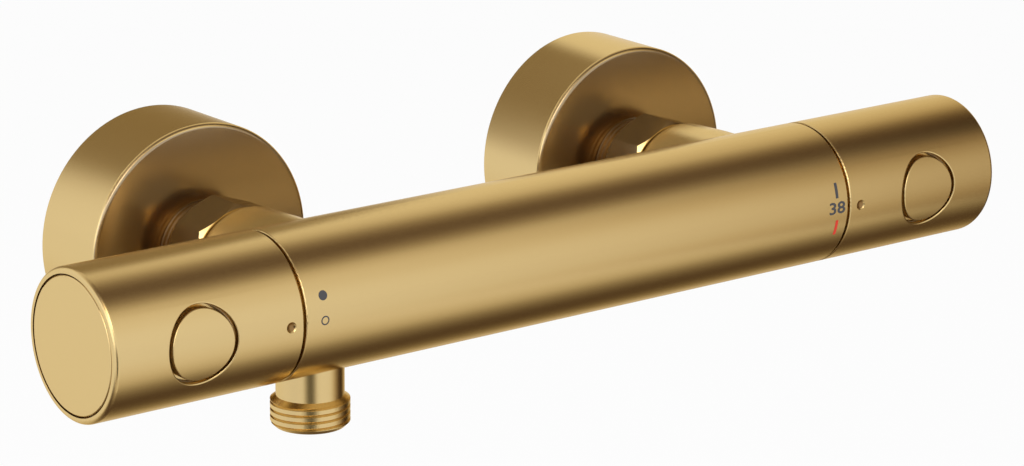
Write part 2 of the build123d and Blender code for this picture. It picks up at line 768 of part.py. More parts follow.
# Ring nut that holds the cartridge, with four notches for its spanner
with BuildPart() as ring_nut:
    with BuildSketch(across(1, cartridge_face + CARTRIDGE_FLANGE)):
        Circle(cartridge_mouth_r - SMALL_GAP)
        Circle(NECK_OUT_R + SMALL_GAP, mode=Mode.SUBTRACT)
    extrude(amount=register_end - cartridge_face - CARTRIDGE_FLANGE)
    with BuildSketch(across(1, register_end)):
        with PolarLocations(cartridge_mouth_r, NOTCHES):
            Rectangle(2 * NOTCH_DEPTH, NOTCH_WIDTH)
    extrude(amount=-REGISTER_LENGTH, mode=Mode.SUBTRACT)
ring_nut.part.label = "ring_nut"
export_step(ring_nut.part, "parts/ring_nut.step")

# Spindle: splined for the handle, with a thrust collar and a left-hand thread for the adjuster
with BuildPart() as cartridge_spindle:
    revolve(
        section(
            bar_plane(1),
            (adjuster_start + ADJUSTER_CUP - SPINDLE_TIP, 0),
            (adjuster_start + ADJUSTER_CUP - SPINDLE_TIP, SPINDLE_THREAD_R),
            (collar_start, SPINDLE_THREAD_R),
            (collar_start, COLLAR_R),
            (collar_end - SMALL_GAP, COLLAR_R),
            (collar_end - SMALL_GAP, SPINDLE_R),
            (spline_start, SPINDLE_R),
            (spline_start, 0),
        ),
        axis=BAR_AXIS,
    )
    with BuildSketch(across(1, spline_start)):
        spline()
    extrude(amount=SPLINE_LENGTH)
    with BuildSketch(across(1, spline_end)):
        Circle(SCREW_R + SPINDLE_PLAY)
    extrude(amount=-SCREW_GRIP - SCREW_ROOM, mode=Mode.SUBTRACT)
cartridge_spindle.part.label = "cartridge_spindle"
export_step(cartridge_spindle.part, "parts/cartridge_spindle.step")

# Adjuster: a keyed nut on the spindle's thread, with a cup for the overtravel spring
with BuildPart() as adjuster:
    with BuildSketch(across(1, adjuster_start)):
        Circle(ADJUSTER_R)
        with PolarLocations(ADJUSTER_R, KEYS):
            Rectangle(2 * ADJUSTER_KEY, ADJUSTER_KEY_WIDTH)
    extrude(amount=ADJUSTER_LENGTH)
    with BuildSketch(across(1, adjuster_start)):
        Circle(ADJUSTER_R - CUP_WALL)
    extrude(amount=ADJUSTER_CUP, mode=Mode.SUBTRACT)
    with BuildSketch(across(1, adjuster_start)):
        Circle(SPINDLE_THREAD_R + THREAD_PLAY)
    extrude(amount=ADJUSTER_LENGTH, mode=Mode.SUBTRACT)
adjuster.part.label = "adjuster"
export_step(adjuster.part, "parts/adjuster.step")

# Piston cap: closes the cup and takes the wax element's piston
cap_end = adjuster_start + PISTON_CAP_LIP
piston_tip = cap_end - PISTON_SEAT
sleeve_r = WAX_PISTON_R + PISTON_SLEEVE_WALL
rim_r = ADJUSTER_R - CUP_WALL - SMALL_GAP
with BuildPart() as piston_cap:
    revolve(
        section(
            bar_plane(1),
            (piston_tip - PISTON_SLEEVE, WAX_PISTON_R + SPINDLE_PLAY),
            (piston_tip - PISTON_SLEEVE, sleeve_r),
            (cap_end - PISTON_CAP_RIM, sleeve_r),
            (cap_end - PISTON_CAP_RIM, rim_r),
            (cap_end, rim_r),
            (cap_end, 0),
            (piston_tip, 0),
            (piston_tip, WAX_PISTON_R + SPINDLE_PLAY),
        ),
        axis=BAR_AXIS,
    )
piston_cap.part.label = "piston_cap"
export_step(piston_cap.part, "parts/piston_cap.step")

overtravel_spring = coil(
    across(1, cap_end + SMALL_GAP),
    adjuster_start + ADJUSTER_CUP - cap_end - 2 * SMALL_GAP,
    ADJUSTER_R - CUP_WALL - CARTRIDGE_SPRING_WIRE / 2 - SMALL_GAP,
    CARTRIDGE_SPRING_WIRE,
    OVERTRAVEL_SPRING_TURNS,
)
overtravel_spring.label = "overtravel_spring"
export_step(overtravel_spring, "parts/overtravel_spring.step")

# Wax element: a turned brass capsule, its piston stands on the cap
wax_flange = shuttle_start + WAX_FLANGE_WIDTH
wax_bottom = mixed_end + WAX_END_ROOM
wax_neck_end = shuttle_end - WAX_NECK_END
with BuildPart() as wax_element:
    revolve(
        section(
            bar_plane(1),
            (wax_bottom, 0),
            (wax_bottom, WAX_R - WAX_EDGE),
            (wax_bottom + WAX_EDGE, WAX_R),
            (shuttle_start, WAX_R),
            (shuttle_start, WAX_R + WAX_FLANGE),
            (wax_flange, WAX_R + WAX_FLANGE),
            (wax_flange, WAX_NECK_R),
            (wax_neck_end, WAX_NECK_R),
            (wax_neck_end + WAX_TAPER, WAX_PISTON_R),
            (piston_tip, WAX_PISTON_R),
            (piston_tip, 0),
        ),
        axis=BAR_AXIS,
    )
wax_element.part.label = "wax_element"
export_step(wax_element.part, "parts/wax_element.step")

# Shuttle: the sliding sleeve between the hot and cold seats, with a groove for its seal
with BuildPart() as shuttle:
    revolve(
        band(bar_plane(1), shuttle_start, shuttle_end, SHUTTLE_R - SHUTTLE_WALL, SHUTTLE_R),
        axis=BAR_AXIS,
    )
    with BuildSketch(across(1, wax_flange)):
        with PolarLocations(SHUTTLE_R / 2, SHUTTLE_ARMS):
            Rectangle(SHUTTLE_R - SHUTTLE_WALL, SHUTTLE_ARM)
        Circle(WAX_NECK_R + SHUTTLE_HUB)
        Circle(WAX_NECK_R + SPINDLE_PLAY, mode=Mode.SUBTRACT)
    extrude(amount=SHUTTLE_ARM_WIDTH)
shuttle.part.label = "shuttle"
export_step(shuttle.part, "parts/shuttle.step")

return_spring = coil(
    across(1, mixed_end + SMALL_GAP),
    wax_flange - mixed_end - 2 * SMALL_GAP,
    (WAX_R + WAX_FLANGE + HOT_SEAT_R) / 2,
    CARTRIDGE_SPRING_WIRE,
    RETURN_SPRING_TURNS,
)
return_spring.label = "return_spring"
export_step(return_spring, "parts/return_spring.step")

# Flow headpart, left end: a ceramic disc valve with half-round ports, closed at rest
seal_start = headpart_bottom + SMALL_GAP
fixed_start = seal_start + HEADPART_SEAL
moving_start = fixed_start + DISC_THICKNESS
carrier_start = moving_start + DISC_THICKNESS
carrier_end = carrier_start + CARRIER_LENGTH
shaft_bore = headpart_face - SHAFT_BLOCK
headpart_in_r = DISC_R + 2 * HEADPART_PLAY
headpart_foot = seal_start + HEADPART_FOOT

with BuildPart() as headpart_housing:
    revolve(
        section(
            bar_plane(-1),
            (headpart_foot, headpart_in_r),
            (headpart_foot, HEADPART_NOSE_R),
            (shaft_bore, HEADPART_NOSE_R),
            (shaft_bore, headpart_bore_r - SMALL_GAP),
            (headpart_face, headpart_bore_r - SMALL_GAP),
            (headpart_face, headpart_mouth_r - SMALL_GAP),
            (BAR_HALF, headpart_mouth_r - SMALL_GAP),
            (BAR_HALF, NECK_OUT_R),
            (neck_end, NECK_OUT_R),
            (neck_end, SPINDLE_R + SPINDLE_PLAY),
            (shaft_bore, SPINDLE_R + SPINDLE_PLAY),
            (shaft_bore, headpart_in_r),
        ),
        axis=BAR_AXIS,
    )
    with BuildSketch(across(-1, BAR_HALF)):
        RegularPolygon(HEADPART_HEX / 2, 6, major_radius=False)
        Circle(NECK_OUT_R - SMALL_GAP, mode=Mode.SUBTRACT)
    extrude(amount=HEADPART_HEX_LENGTH)
    for window in range(WINDOWS):
        revolve(
            band(
                bar_plane(-1, window * 360 / WINDOWS),
                carrier_end + WINDOW_CLEAR,
                shaft_bore - WINDOW_CLEAR,
                HEADPART_NOSE_R - WINDOW_DEPTH,
                HEADPART_NOSE_R + PAST,
            ),
            axis=BAR_AXIS,
            revolution_arc=WINDOW_ARC,
            mode=Mode.SUBTRACT,
        )
headpart_housing.part.label = "headpart_housing"
export_step(headpart_housing.part, "parts/headpart_housing.step")

with BuildPart() as headpart_seal:
    revolve(
        band(bar_plane(-1), seal_start, fixed_start, DISC_PORT_R - SEAL_LAND, DISC_R),
        axis=BAR_AXIS,
    )
headpart_seal.part.label = "headpart_seal"
export_step(headpart_seal.part, "parts/headpart_seal.step")

# The fixed disc's port is above the axis, the moving disc's below it, until the handle turns
open_turn = -DISC_PORT_ARC / 2
closed_turn = 180 - DISC_PORT_ARC / 2
for start, turn, name in ((fixed_start, open_turn, "fixed_disc"), (moving_start, closed_turn, "moving_disc")):
    with BuildPart() as disc:
        with BuildSketch(across(-1, start)):
            Circle(DISC_R)
        extrude(amount=DISC_THICKNESS)
        revolve(
            band(bar_plane(-1, turn), start, start + DISC_THICKNESS, DISC_PORT_START_R, DISC_PORT_R),
            axis=BAR_AXIS,
            revolution_arc=DISC_PORT_ARC,
            mode=Mode.SUBTRACT,
        )
    disc.part.label = name
    export_step(disc.part, f"parts/{name}.step")

with BuildPart() as headpart_spindle:
    with BuildSketch(across(-1, carrier_start)):
        Circle(DISC_R)
    extrude(amount=CARRIER_LENGTH)
    revolve(
        band(bar_plane(-1, closed_turn), carrier_start, carrier_end, DISC_PORT_START_R, DISC_PORT_R),
        axis=BAR_AXIS,
        revolution_arc=DISC_PORT_ARC,
        mode=Mode.SUBTRACT,
    )
    with BuildSketch(across(-1, carrier_end)):
        Circle(SPINDLE_R)
    extrude(amount=spline_start - carrier_end)
    with BuildSketch(across(-1, spline_start)):
        spline()
    extrude(amount=SPLINE_LENGTH)
    with BuildSketch(across(-1, spline_end)):
        Circle(SCREW_R + SPINDLE_PLAY)
    extrude(amount=-SCREW_GRIP - SCREW_ROOM, mode=Mode.SUBTRACT)
headpart_spindle.part.label = "headpart_spindle"
export_step(headpart_spindle.part, "parts/headpart_spindle.step")

# Each handle turns between two stops: the lug inside it meets the ends of the stop ring's lug.
# The turns are by the right-hand rule about +X, counted from rest.
handles = (
    (-1, "flow", -FLOW_TURN, 0.0),
    (1, "temperature", -COLD_TURN, HOT_TURN),
)

for side, use, lowest, highest in handles:
    blocked_arc = 360 - (highest - lowest) - STOP_LUG_ARC - 2 * STOP_PLAY_ARC
    blocked_start = LUG_TURN + (highest + lowest) / 2 + 180 - blocked_arc / 2
    with BuildPart() as stop_ring:
        revolve(
            band(bar_plane(side), stop_ring_start, stop_ring_end, NECK_OUT_R + SMALL_GAP, STOP_RING_R),
            axis=BAR_AXIS,
        )
        revolve(
            band(
                bar_plane(side, blocked_start),
                stop_ring_start,
                stop_ring_end,
                STOP_RING_R - PAST,
                STOP_RING_R + STOP_LUG,
            ),
            axis=BAR_AXIS,
            revolution_arc=blocked_arc,
        )
    stop_ring.part.label = f"{use}_stop_ring"
    export_step(stop_ring.part, f"parts/{use}_stop_ring.step")

    # Handle sleeve: a turned brass tube with a hole for the button and a dimple that points at the scale
    dimple_r = (POINTER_R**2 + POINTER_DEPTH**2) / (2 * POINTER_DEPTH)
    with BuildPart() as sleeve:
        with BuildSketch(across(side, sleeve_start)):
            Circle(BAR_R)
            Circle(sleeve_bore_r, mode=Mode.SUBTRACT)
        extrude(amount=HANDLE_LENGTH)
        rims = sleeve.edges().filter_by(GeomType.CIRCLE).sort_by(SortBy.RADIUS)[-2:]
        joint_rim, end_rim = rims.sort_by(Axis((0, 0, 0), (side, 0, 0)))
        fillet(joint_rim, radius=EDGE)
        fillet(end_rim, radius=HANDLE_EDGE)
        with BuildSketch(facing_room(side, button_x, 0)):
            Circle(BUTTON_R + BUTTON_GAP)
        extrude(amount=BAR_R + PAST, mode=Mode.SUBTRACT)
        fillet(sleeve.edges().sort_by(Axis.Y)[0], radius=BUTTON_EDGE)
        dimple_y = -WALL_TO_AXIS - BAR_R - dimple_r + POINTER_DEPTH
        with Locations((side * (sleeve_start + POINTER_OUT), dimple_y, AXIS_Z)):
            Sphere(dimple_r, mode=Mode.SUBTRACT)
    sleeve.part.label = f"{use}_handle"
    export_step(sleeve.part, f"parts/{use}_handle.step")

    # Carrier: the moulded core of the handle. Its hub sits on the spindle's spline, its cross tube
    # guides the button, and its lug runs against the stop ring.
    carrier_out_r = sleeve_bore_r - CARRIER_PLAY
    carrier_in_r = carrier_out_r - CARRIER_WALL
    guide_r = BUTTON_FLANGE_R + BUTTON_GUIDE_PLAY
    flange_bottom = BAR_R - BUTTON_DEPTH
    floor_top = flange_bottom - BUTTON_TRAVEL - BUTTON_ROOM
    floor_bottom = floor_top - BUTTON_FLOOR
    with BuildPart() as carrier:
        with BuildSketch(facing_room(side, button_x, floor_bottom)):
            Circle(guide_r + BUTTON_GUIDE_WALL)
        extrude(amount=BAR_R)
        with Locations(Location(BAR_SECTION.offset(side * button_x))):
            Cylinder(carrier_out_r, 2 * BAR_R, mode=Mode.INTERSECT)
        revolve(
            section(
                bar_plane(side),
                (neck_end + HUB_GAP, 0),
                (neck_end + HUB_GAP, HUB_R),
                (web_start, HUB_R),
                (web_start, carrier_in_r),
                (register_end + NECK_GAP, carrier_in_r),
                (register_end + NECK_GAP, carrier_out_r),
                (cap_seat, carrier_out_r),
                (cap_seat, carrier_in_r),
                (web_end, carrier_in_r),
                (web_end, 0),
            ),
            axis=BAR_AXIS,
        )
        with BuildSketch(facing_room(side, button_x, floor_top)):
            Circle(guide_r)
        extrude(amount=BAR_R, mode=Mode.SUBTRACT)
        with BuildSketch(facing_room(side, button_x, 0)):
            Circle(BUTTON_STEM_R + SMALL_GAP)
        extrude(amount=BAR_R, mode=Mode.SUBTRACT)
        with BuildSketch(across(side, neck_end + HUB_GAP)):
            spline(SPLINE_PLAY)
        extrude(amount=web_start - neck_end - HUB_GAP, mode=Mode.SUBTRACT)
        with BuildSketch(across(side, web_start)):
            Circle(SCREW_R + SMALL_GAP)
        extrude(amount=WEB_THICKNESS, mode=Mode.SUBTRACT)
        revolve(
            band(
                bar_plane(side, LUG_TURN - STOP_LUG_ARC / 2),
                register_end + NECK_GAP,
                stop_ring_end,
                STOP_RING_R + NECK_GAP,
                carrier_in_r + LUG_SINK,
            ),
            axis=BAR_AXIS,
            revolution_arc=STOP_LUG_ARC,
        )
    carrier.part.label = f"{use}_carrier"
    export_step(carrier.part, f"parts/{use}_carrier.step")

    # Screw from the open end into the spindle
    with BuildPart() as screw:
        with BuildSketch(across(side, web_end)):
            Circle(SCREW_HEAD_R)
        extrude(amount=SCREW_HEAD)
        with BuildSketch(across(side, web_end)):
            Circle(SCREW_R)
        extrude(amount=-(web_end - spline_end) - SCREW_GRIP)
        with BuildSketch(across(side, web_end + SCREW_HEAD)):
            RegularPolygon(SCREW_SOCKET / 2, 6, major_radius=False)
        extrude(amount=-SCREW_HEAD / 2, mode=Mode.SUBTRACT)
    screw.part.label = f"{use}_screw"
    export_step(screw.part, f"parts/{use}_screw.step")

    # End cap: a disc that stands a little proud of the rim, with three snap legs
    with BuildPart() as cap:
        with BuildSketch(across(side, cap_seat)):
            Circle(sleeve_bore_r - CAP_GROOVE)
        extrude(amount=CAP_THICKNESS)
        fillet(cap.edges().group_by(Axis.X)[0 if side < 0 else -1], radius=EDGE)
        for leg in range(CAP_LEGS):
            revolve(
                band(
                    bar_plane(side, leg * 360 / CAP_LEGS),
                    cap_seat - CAP_LEG_LENGTH,
                    cap_seat,
                    carrier_in_r - SMALL_GAP - CARRIER_WALL,
                    carrier_in_r - SMALL_GAP,
                ),
                axis=BAR_AXIS,
                revolution_arc=CAP_LEG_ARC,
            )
    cap.part.label = f"{use}_cap"
    export_step(cap.part, f"parts/{use}_cap.step")

    # Push button: its face is part of the handle's round, its stem runs through the guide's floor
    with BuildPart() as button:
        with BuildSketch(facing_room(side, button_x, flange_bottom)):
            Circle(BUTTON_R)
        extrude(amount=BUTTON_DEPTH + PAST)
        with Locations(Location(BAR_SECTION.offset(side * button_x))):
            Cylinder(BAR_R, 2 * BAR_R, mode=Mode.INTERSECT)
        fillet(button.edges().sort_by(Axis.Y)[0], radius=BUTTON_EDGE)
        with BuildSketch(facing_room(side, button_x, flange_bottom)):
            Circle(BUTTON_FLANGE_R)
        extrude(amount=BUTTON_FLANGE)
        with BuildSketch(facing_room(side, button_x, flange_bottom)):
            Circle(BUTTON_R - CARRIER_WALL)
        extrude(amount=BUTTON_DEPTH - BUTTON_TOP, mode=Mode.SUBTRACT)
        barb_top = floor_bottom - SMALL_GAP
        with BuildSketch(facing_room(side, button_x, barb_top)):
            Circle(BUTTON_STEM_R)
        extrude(amount=BAR_R - BUTTON_TOP - barb_top)
        with BuildSketch(facing_room(side, button_x, barb_top)):
            Circle(BUTTON_BARB_R)
        extrude(amount=-BUTTON_FLOOR / 2, taper=BARB_TAPER)
    button.part.label = f"{use}_button"
    export_step(button.part, f"parts/{use}_button.step")

    button_spring = coil(
        facing_room(side, button_x, floor_top + SMALL_GAP),
        BAR_R - BUTTON_TOP - floor_top - 2 * SMALL_GAP,
        BUTTON_STEM_R + BUTTON_SPRING_ROOM,
        BUTTON_SPRING_WIRE,
        BUTTON_SPRING_TURNS,
    )
    button_spring.label = f"{use}_button_spring"
    export_step(button_spring, f"parts/{use}_button_spring.step")
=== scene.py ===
import json
from math import cos, pi, radians, sin

import bpy
from mathutils import Matrix, Vector


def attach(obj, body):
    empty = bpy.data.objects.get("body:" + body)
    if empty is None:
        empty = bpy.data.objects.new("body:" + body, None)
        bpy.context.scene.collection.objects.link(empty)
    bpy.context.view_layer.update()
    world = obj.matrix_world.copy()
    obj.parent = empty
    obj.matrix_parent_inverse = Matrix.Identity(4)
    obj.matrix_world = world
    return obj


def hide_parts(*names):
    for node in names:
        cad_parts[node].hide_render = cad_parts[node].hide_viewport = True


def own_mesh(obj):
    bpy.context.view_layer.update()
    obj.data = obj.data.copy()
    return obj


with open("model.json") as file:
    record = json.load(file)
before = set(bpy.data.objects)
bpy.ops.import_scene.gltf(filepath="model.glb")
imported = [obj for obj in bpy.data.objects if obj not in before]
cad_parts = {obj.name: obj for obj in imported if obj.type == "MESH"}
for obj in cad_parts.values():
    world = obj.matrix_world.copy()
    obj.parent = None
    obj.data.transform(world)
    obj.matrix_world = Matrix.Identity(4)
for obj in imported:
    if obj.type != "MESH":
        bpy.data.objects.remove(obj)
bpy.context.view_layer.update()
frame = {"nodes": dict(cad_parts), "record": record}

# Mixer body: one brass casting, a round bar with two inlet necks behind and the water ways inside.
# It is turned between centres and brushed while it turns, so its fine lines run round the bar, and
# then gets a thin golden PVD layer.
BAR_AXIS = Vector((0, -0.079, 0.0075))
BAR_R = 0.020
GOLD = "#DEC38B"
GOLD_ROUGHNESS = 0.25
LINES_PER_MM = 9.0
LINE_DEPTH = 0.000002


def linear(code):
    """Scene colour of an sRGB hex code."""
    parts = [int(code[i:i + 2], 16) / 255 for i in (1, 3, 5)]
    return [p / 12.92 if p <= 0.04045 else ((p + 0.055) / 1.055) ** 2.4 for p in parts] + [1]


def new_material(name, constants):
    """A material with constants on the sockets of its surface shader."""
    material = bpy.data.materials.new(name)
    material.use_nodes = True
    for socket, value in constants.items():
        material.node_tree.nodes["Principled BSDF"].inputs[socket].default_value = value
    return material


def add(material, kind, inputs, **settings):
    """Adds a node with its settings; an input is a value or the output that feeds it."""
    node = material.node_tree.nodes.new(kind)
    for name, value in settings.items():
        setattr(node, name, value)
    for name, value in inputs.items():
        if isinstance(value, bpy.types.NodeSocket):
            material.node_tree.links.new(value, node.inputs[name])
        else:
            node.inputs[name].default_value = value
    return node.outputs


def feed(material, value, socket, node="Principled BSDF"):
    """Leads an output into the surface shader, or into another node that is there."""
    material.node_tree.links.new(value, material.node_tree.nodes[node].inputs[socket])


def maths(material, operation, first, second, clamp=False):
    """One step of arithmetic."""
    return add(material, "ShaderNodeMath", {0: first, 1: second},
               operation=operation, use_clamp=clamp)["Value"]


def vectors(material, operation, *values):
    """One step of arithmetic with vectors, whose result is a number or a vector."""
    outputs = add(material, "ShaderNodeVectorMath", dict(enumerate(values)), operation=operation)
    return outputs["Value" if operation in ("LENGTH", "DISTANCE", "DOT_PRODUCT") else "Vector"]


def ranged(material, value, low, high, first, last, curve="LINEAR"):
    """Leads a value from the range low to high into the range first to last."""
    return add(material, "ShaderNodeMapRange",
               {"Value": value, "From Min": low, "From Max": high, "To Min": first, "To Max": last},
               interpolation_type=curve)["Result"]


def turned_metal(name, colour, roughness, centre, axis, lines_per_mm=LINES_PER_MM, depth=LINE_DEPTH):
    """Metal with fine lines round one axis, as a lathe, a brush or a grinding wheel leaves them."""
    material = new_material(name, {"Base Color": linear(colour), "Metallic": 1.0,
                                   "Specular Tint": linear("#F6E8C8")})
    along = Vector([float(i == axis) for i in range(3)])
    place = add(material, "ShaderNodeTexCoord", {})["Object"]
    place = add(material, "ShaderNodeMapping", {"Vector": place, "Location": -centre})["Vector"]
    flat = vectors(material, "MULTIPLY", place, Vector((1, 1, 1)) - along)
    radius = vectors(material, "LENGTH", flat)
    height = vectors(material, "DOT_PRODUCT", place, along)
    # Across the lines the pattern changes several times a millimetre. Round the axis it changes only
    # sixty times a metre, so each line runs on for a long way before it fades.
    across = maths(material, "ADD", radius, height)
    across = maths(material, "MULTIPLY", across, lines_per_mm * 1000)
    around = vectors(material, "MULTIPLY", flat, (60, 60, 60))
    spread = add(material, "ShaderNodeCombineXYZ", {"X": across, "Y": across, "Z": across})[0]
    spread = vectors(material, "ADD", spread, around)
    lines = add(material, "ShaderNodeTexNoise", {"Vector": spread, "Scale": 1.0, "Detail": 2.0})[0]
    tone = ranged(material, lines, 0.3, 0.7, roughness - 0.015, roughness + 0.02)
    bump = add(material, "ShaderNodeBump", {"Height": lines, "Strength": 0.03, "Distance": depth})
    feed(material, tone, "Roughness")
    feed(material, bump["Normal"], "Normal")
    return material


def coat(obj, material):
    """Puts one material on the whole of a mesh."""
    obj.data.materials.clear()
    obj.data.materials.append(material)


def finish_node(node, material):
    """Gives a CAD piece its surface."""
    made = frame["nodes"][node]
    coat(made, material)


gold_bar = turned_metal("brushed_gold_pvd_around_bar", GOLD, GOLD_ROUGHNESS, BAR_AXIS, 0)
finish_node("mixer_body", gold_bar)

# Marks on the body: stop and half flow on the left, hot, 38 and cold on the right. They are
# pad-printed in dark grey and red ink, a few hundredths of a millimetre thick.
INK_PROUD = 0.00003
MARK_X = 0.0871
DOT_R = 0.0013
DOT_ANGLE = 18.7
RING_R = 0.00125
RING_WIDTH = 0.00035
STRIPE_WIDTH = 0.00098
DIGITS_X = 0.08858
DIGITS_ANGLE = 0.9
DIGITS_SIZE = 0.0048
DIGITS_STRETCH = 1.3
DIGITS_BOLD = 0.00009
DIGITS_ROW = 0.0006


def printed(obj, name, material):
    """Bends a flat mark round the bar, just proud of it."""
    obj.name = name
    bpy.ops.object.transform_apply(location=True, rotation=True, scale=True)
    wrap = obj.modifiers.new("wrap", "SHRINKWRAP")
    wrap.target = frame["nodes"]["mixer_body"]
    wrap.wrap_method = "NEAREST_SURFACEPOINT"
    wrap.wrap_mode = "ABOVE_SURFACE"
    wrap.offset = INK_PROUD
    bpy.ops.object.modifier_apply(modifier="wrap")
    coat(obj, material)
    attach(obj, "mixer")


def on_bar(x, angle):
    """Place and turn of a mark at so many degrees above the front of the bar."""
    up = radians(angle)
    place = BAR_AXIS + Vector((x, -BAR_R * cos(up), BAR_R * sin(up)))
    return {"location": place, "rotation": (pi / 2 - up, 0, 0)}


def ink(name, colour):
    """Matt printing ink, its layer slightly uneven."""
    material = new_material(name, {"Base Color": linear(colour)})
    place = add(material, "ShaderNodeTexCoord", {})["Object"]
    layer = add(material, "ShaderNodeTexNoise", {"Vector": place, "Scale": 9000.0})[0]
    feed(material, ranged(material, layer, 0.0, 1.0, 0.5, 0.62), "Roughness")
    return material


grey_ink = ink("grey_pad_print", "#47464A")
red_ink = ink("red_pad_print", "#E2341C")
bpy.ops.object.select_all(action="DESELECT")
bpy.ops.mesh.primitive_circle_add(vertices=32, radius=DOT_R, fill_type="TRIFAN",
                                  **on_bar(-MARK_X, DOT_ANGLE))
printed(bpy.context.object, "stop_dot", grey_ink)
bpy.ops.mesh.primitive_circle_add(vertices=32, radius=RING_R, fill_type="NGON",
                                  **on_bar(-MARK_X, 0))
bpy.ops.object.mode_set(mode="EDIT")
bpy.ops.mesh.select_all(action="SELECT")
bpy.ops.mesh.inset(thickness=RING_WIDTH)
bpy.ops.mesh.delete(type="FACE")
bpy.ops.object.mode_set(mode="OBJECT")
printed(bpy.context.object, "half_flow_ring", grey_ink)
for name, x, low, high, stripe_ink in (("hot_bar", 0.0887, 9.35, 22.0, grey_ink),
                                       ("cold_bar", 0.0889, -22.0, -9.0, red_ink)):
    bpy.ops.mesh.primitive_grid_add(x_subdivisions=1, y_subdivisions=8, size=1,
                                    **on_bar(x, (low + high) / 2))
    bpy.context.object.scale = (STRIPE_WIDTH, BAR_R * radians(high - low), 1)
    printed(bpy.context.object, name, stripe_ink)
bpy.ops.object.text_add(**on_bar(DIGITS_X, DIGITS_ANGLE))
digits = bpy.context.object
digits.data.body = "38"
digits.data.align_x = "CENTER"
digits.data.align_y = "CENTER"
digits.data.size = DIGITS_SIZE
digits.data.resolution_u = 3
digits.data.offset = DIGITS_BOLD
digits.scale = (DIGITS_STRETCH, 1, 1)
bpy.ops.object.convert(target="MESH")
# Cuts across the digits give them rows of points, so that they can bend round the bar.
bpy.ops.object.mode_set(mode="EDIT")
for cut in range(-3, 4):
    bpy.ops.mesh.select_all(action="SELECT")
    bpy.ops.mesh.bisect(plane_co=BAR_AXIS + Vector((0, 0, cut * DIGITS_ROW)), plane_no=(0, 0, 1))
bpy.ops.object.mode_set(mode="OBJECT")
printed(bpy.context.object, "temperature_digits", grey_ink)

# Outlet nipple: turned brass, screwed and sealed into the bar, with the same golden coat. Its G1/2
# thread takes the shower hose: 14 threads to the inch. Its crests are turned broad and its grooves
# shallow, as the photo shows them.
INLET_X = 0.075
OUTLET_X = 0.0778
OUTLET_THREAD_Z = -0.0285
OUTLET_THREAD_TURNS = 6
THREAD_PITCH = 0.001814
THREAD_DEPTH = 0.0005
THREAD_CREST = 0.0011
G_HALF_R = 0.0104775


def copied(node, name):
    """A copy of a CAD piece with its facets joined into one skin."""
    bpy.ops.object.select_all(action="DESELECT")
    bpy.context.view_layer.objects.active = frame["nodes"][node]
    frame["nodes"][node].select_set(True)
    bpy.ops.object.duplicate()
    piece = bpy.context.object
    piece.name = name
    bpy.ops.object.mode_set(mode="EDIT")
    bpy.ops.mesh.select_all(action="SELECT")
    bpy.ops.mesh.remove_doubles(threshold=0.000001)
    bpy.ops.object.mode_set(mode="OBJECT")
    bpy.ops.mesh.customdata_custom_splitnormals_clear()
    return piece


def threaded(node, name, cuts):
    """A copy of a turned piece with V-grooves cut round it.

    Each cut has its starting place, its turn, the thread's outer radius and the number of turns.
    """
    piece = copied(node, name)
    for place, turn, radius, turns in cuts:
        bpy.ops.object.select_all(action="DESELECT")
        bpy.ops.mesh.primitive_circle_add(vertices=3, radius=THREAD_DEPTH, location=(0, 0, 0))
        tool = bpy.context.object
        # The three corners are put round the groove: its bottom, and two just outside the crest.
        groove = (THREAD_PITCH - THREAD_CREST) / 2
        past = 1.12
        outside = radius + THREAD_DEPTH * (past - 1)
        corners = ((radius - THREAD_DEPTH, 0), (outside, -groove * past), (outside, groove * past))
        for corner, (out, up) in zip(tool.data.vertices, corners):
            corner.co = (out, 0, up)
        helix = tool.modifiers.new("helix", "SCREW")
        helix.axis = "Z"
        helix.angle = 2 * pi
        helix.screw_offset = THREAD_PITCH
        helix.iterations = turns
        helix.steps = helix.render_steps = 40
        helix.use_normal_calculate = True
        bpy.ops.object.modifier_apply(modifier="helix")
        # The two open ends are closed, so that the tool is a solid.
        bpy.ops.object.mode_set(mode="EDIT")
        bpy.ops.mesh.select_all(action="DESELECT")
        bpy.ops.mesh.select_mode(type="EDGE")
        bpy.ops.mesh.select_non_manifold(extend=False)
        bpy.ops.mesh.edge_face_add()
        bpy.ops.mesh.select_all(action="SELECT")
        bpy.ops.mesh.normals_make_consistent(inside=False)
        bpy.ops.object.mode_set(mode="OBJECT")
        tool.location = place
        tool.rotation_euler = turn
        bpy.ops.object.transform_apply(location=True, rotation=True, scale=True)
        bpy.ops.object.select_all(action="DESELECT")
        bpy.context.view_layer.objects.active = piece
        piece.select_set(True)
        cut = piece.modifiers.new("thread", "BOOLEAN")
        cut.operation = "DIFFERENCE"
        cut.solver = "EXACT"
        cut.object = tool
        bpy.ops.object.modifier_apply(modifier="thread")
        bpy.data.objects.remove(tool, do_unlink=True)
    bpy.ops.mesh.customdata_custom_splitnormals_clear()
    bpy.ops.object.shade_smooth_by_angle(angle=radians(32))
    return piece


gold_outlet = turned_metal("brushed_gold_pvd_around_outlet", GOLD, GOLD_ROUGHNESS,
                           Vector((-OUTLET_X, BAR_AXIS.y, 0)), 2)
outlet = threaded("outlet_nipple", "threaded_outlet",
                  [(Vector((-OUTLET_X, BAR_AXIS.y, OUTLET_THREAD_Z)), (0, 0, 0),
                    G_HALF_R, OUTLET_THREAD_TURNS)])
coat(outlet, gold_outlet)
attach(outlet, "mixer")
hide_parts("outlet_nipple")

